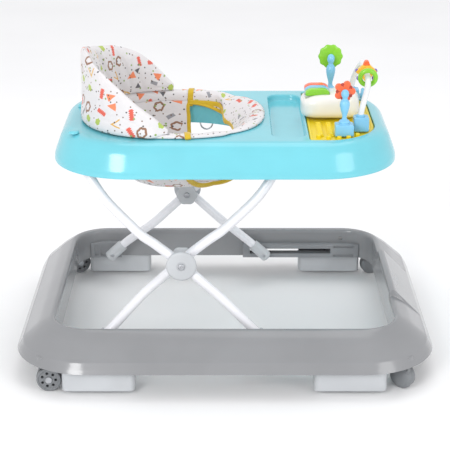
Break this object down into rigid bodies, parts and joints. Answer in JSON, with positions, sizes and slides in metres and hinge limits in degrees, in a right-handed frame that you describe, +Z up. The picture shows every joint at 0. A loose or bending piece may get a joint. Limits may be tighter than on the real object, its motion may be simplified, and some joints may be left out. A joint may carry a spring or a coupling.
{
  "type": "folding baby walker",
  "caption": "Folding baby walker: ring base on swivel castors, crossed tube frames, tray with snack trough, padded sling seat and toy board.",
  "frame": {"origin": "on the floor under the middle of the base, walker standing at its full height", "axes": "+X forward, towards the toys; +Y to the child's left; +Z up"},
  "size_m": [0.704, 0.604, 0.52],
  "materials": {
    "grey_shell": "gloss moulded",
    "blue_shell": "gloss moulded",
    "white_paint": "gloss powder coat",
    "steel": "zinc plated",
    "grey_moulding": "satin moulded",
    "castor_grey": "satin moulded",
    "dark_plastic": "satin moulded",
    "printed_fabric": "printed polyester",
    "toy_yellow": "moulded",
    "toy_white": "moulded",
    "toy_orange": "moulded",
    "toy_green": "moulded",
    "star_yellow": "moulded",
    "toy_blue": "moulded",
    "white_plastic": "satin moulded"
  },
  "bodies": {
    "base": {"base_shell": "grey_shell", "slide_rail_r": "grey_moulding", "pivot_bracket_r": "grey_moulding", "stopper_front_r": "white_plastic", "stopper_rear_r": "white_plastic", "slide_rail_l": "grey_moulding", "pivot_bracket_l": "grey_moulding", "stopper_front_l": "white_plastic", "stopper_rear_l": "white_plastic"},
    "inner_frame": {"inner_frame_tube": "white_paint", "inner_frame_foot_r": "white_plastic", "inner_frame_foot_l": "white_plastic", "hub_inner_cover_r": "white_plastic", "hub_inner_cover_l": "white_plastic"},
    "outer_frame": {"outer_frame_tube": "white_paint", "outer_frame_foot_r": "white_plastic", "outer_frame_foot_l": "white_plastic", "hub_outer_cover_r": "white_plastic", "hub_outer_cover_l": "white_plastic", "hub_bolt_r": "steel", "hub_bolt_l": "steel", "slider_bushing_r": "dark_plastic", "slider_bushing_l": "dark_plastic"},
    "tray": {"tray_shell": "blue_shell", "rear_crossbar_clamp": "dark_plastic", "front_track_r": "white_plastic", "front_track_l": "white_plastic", "tray_cap_r": "blue_shell", "tray_cap_l": "blue_shell", "seat_hook_ring": "steel", "seat_rim_pad": "printed_fabric", "seat_backrest": "printed_fabric", "seat_sling": "printed_fabric", "toy_board": "toy_yellow", "toy_piano_body": "toy_white", "toy_stand_near": "toy_blue", "toy_stand_far": "toy_blue", "toy_arch": "toy_white"},
    "castor_front_r": {"castor_hood_front_r": "castor_grey", "castor_axle_front_r": "steel"},
    "wheel_front_r": {"castor_wheel_front_r": "castor_grey"},
    "castor_front_l": {"castor_hood_front_l": "castor_grey", "castor_axle_front_l": "steel"},
    "wheel_front_l": {"castor_wheel_front_l": "castor_grey"},
    "castor_rear_r": {"castor_hood_rear_r": "castor_grey", "castor_axle_rear_r": "steel"},
    "wheel_rear_r": {"castor_wheel_rear_r": "castor_grey"},
    "castor_rear_l": {"castor_hood_rear_l": "castor_grey", "castor_axle_rear_l": "steel"},
    "wheel_rear_l": {"castor_wheel_rear_l": "castor_grey"},
    "catch_r": {"fold_catch_r": "dark_plastic"},
    "catch_l": {"fold_catch_l": "dark_plastic"},
    "key_orange": {"toy_key_orange": "toy_orange"},
    "key_blue": {"toy_key_blue": "toy_blue"},
    "key_green": {"toy_key_green": "toy_green"},
    "side_knob": {"toy_side_knob": "toy_blue"},
    "flower": {"toy_flower": "toy_orange"},
    "leaf_disc": {"toy_leaf_disc": "toy_green"},
    "ring": {"toy_ring": "toy_green"},
    "star": {"toy_star": "star_yellow"}
  },
  "joints": [
    {"name": "fold_hinge", "type": "hinge", "parent": "base", "child": "inner_frame", "pos_m": [-0.219, 0, 0.059], "axis": [0, 1, 0], "range_deg": [0, 31]},
    {"name": "hub_hinge", "type": "hinge", "parent": "inner_frame", "child": "outer_frame", "pos_m": [-0.072, 0, 0.195], "axis": [0, 1, 0], "range_deg": [-62, 0]},
    {"name": "tray_hinge", "type": "hinge", "parent": "outer_frame", "child": "tray", "pos_m": [-0.25, 0, 0.366], "axis": [0, 1, 0], "range_deg": [0, 31]},
    {"name": "castor_swivel_front_r", "type": "hinge", "parent": "base", "child": "castor_front_r", "pos_m": [0.301, -0.26, 0], "axis": [0, 0, 1], "continuous": true},
    {"name": "wheel_spin_front_r", "type": "hinge", "parent": "castor_front_r", "child": "wheel_front_r", "pos_m": [0.29668, -0.24896, 0.0205], "axis": [-0.6561, -0.7547, 0], "continuous": true},
    {"name": "castor_swivel_front_l", "type": "hinge", "parent": "base", "child": "castor_front_l", "pos_m": [0.301, 0.26, 0], "axis": [0, 0, 1], "continuous": true},
    {"name": "wheel_spin_front_l", "type": "hinge", "parent": "castor_front_l", "child": "wheel_front_l", "pos_m": [0.28925, 0.26158, 0.0205], "axis": [0.342, -0.9397, 0], "continuous": true},
    {"name": "castor_swivel_rear_r", "type": "hinge", "parent": "base", "child": "castor_rear_r", "pos_m": [-0.301, -0.26, 0], "axis": [0, 0, 1], "continuous": true},
    {"name": "wheel_spin_rear_r", "type": "hinge", "parent": "castor_rear_r", "child": "wheel_rear_r", "pos_m": [-0.2905, -0.2655, 0.0205], "axis": [0, 1, 0], "continuous": true},
    {"name": "castor_swivel_rear_l", "type": "hinge", "parent": "base", "child": "castor_rear_l", "pos_m": [-0.301, 0.26, 0], "axis": [0, 0, 1], "continuous": true},
    {"name": "wheel_spin_rear_l", "type": "hinge", "parent": "castor_rear_l", "child": "wheel_rear_l", "pos_m": [-0.28917, 0.25925, 0.0205], "axis": [-0.4067, 0.9135, 0], "continuous": true},
    {"name": "catch_slide_r", "type": "slide", "parent": "base", "child": "catch_r", "axis": [0, -1, 0], "range_m": [0, 0.004], "stiffness_N_per_m": 300, "springref_m": -0.003},
    {"name": "catch_slide_l", "type": "slide", "parent": "base", "child": "catch_l", "axis": [0, 1, 0], "range_m": [0, 0.004], "stiffness_N_per_m": 300, "springref_m": -0.003},
    {"name": "key_press_orange", "type": "slide", "parent": "tray", "child": "key_orange", "axis": [0, 0, -1], "range_m": [0, 0.003], "stiffness_N_per_m": 250, "springref_m": -0.002},
    {"name": "key_press_blue", "type": "slide", "parent": "tray", "child": "key_blue", "axis": [0, 0, -1], "range_m": [0, 0.003], "stiffness_N_per_m": 250, "springref_m": -0.002},
    {"name": "key_press_green", "type": "slide", "parent": "tray", "child": "key_green", "axis": [0, 0, -1], "range_m": [0, 0.003], "stiffness_N_per_m": 250, "springref_m": -0.002},
    {"name": "knob_turn", "type": "hinge", "parent": "tray", "child": "side_knob", "pos_m": [0.2324, 0, 0.432], "axis": [1, 0, 0], "continuous": true},
    {"name": "flower_spin", "type": "hinge", "parent": "tray", "child": "flower", "pos_m": [0.197, -0.1085, 0.46806], "axis": [0, 1, 0], "continuous": true},
    {"name": "leaf_disc_spin", "type": "hinge", "parent": "tray", "child": "leaf_disc", "pos_m": [0.189, 0.1115, 0.475], "axis": [0, 1, 0], "continuous": true},
    {"name": "ring_turn", "type": "hinge", "parent": "tray", "child": "ring", "pos_m": [0.24038, -0.05213, 0.47653], "axis": [0.0252, 0.9823, 0.1858], "continuous": true},
    {"name": "star_turn", "type": "hinge", "parent": "tray", "child": "star", "pos_m": [0.24054, -0.01979, 0.47967], "axis": [-0.0001, 0.9991, 0.0435], "continuous": true}
  ],
  "couplings": [
    {"joint": "hub_hinge", "follows": "fold_hinge", "ratio": -2},
    {"joint": "tray_hinge", "follows": "fold_hinge", "ratio": 1}
  ]
}
